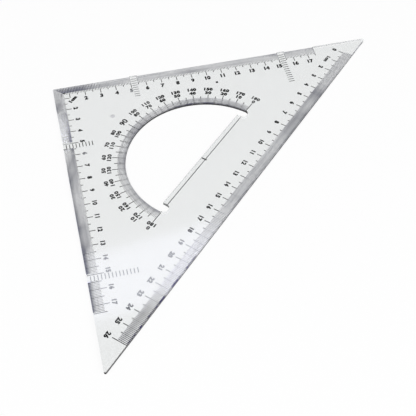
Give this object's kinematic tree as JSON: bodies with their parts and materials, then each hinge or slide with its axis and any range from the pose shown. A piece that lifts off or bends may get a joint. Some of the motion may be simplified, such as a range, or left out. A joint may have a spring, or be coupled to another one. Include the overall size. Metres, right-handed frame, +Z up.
{
  "type": "drafting triangle",
  "caption": "Clear 45 degree set square with bevelled centimetre edges and a half-round protractor window, laid flat.",
  "frame": {"origin": "centre of the plate's box, on the surface that it lies on", "axes": "+X along the hypotenuse towards the corner where its scale starts, +Y from the hypotenuse towards the right angle, +Z up from the printed underside"},
  "size_m": [0.2978, 0.1496, 0.002],
  "materials": {
    "acrylic": "clear, polished faces with satin bevels",
    "print": "black stamping ink"
  },
  "bodies": {
    "root": {"plate": "acrylic", "right_leg_centimetres": "print", "right_leg_halves": "print", "left_leg_centimetres": "print", "left_leg_halves": "print", "hypotenuse_centimetres": "print", "hypotenuse_halves": "print", "right_rungs_near": "print", "right_rungs_far": "print", "left_rungs_near": "print", "left_rungs_far": "print", "protractor_tens": "print", "protractor_fives": "print", "protractor_base_line": "print"}
  },
  "joints": []
}
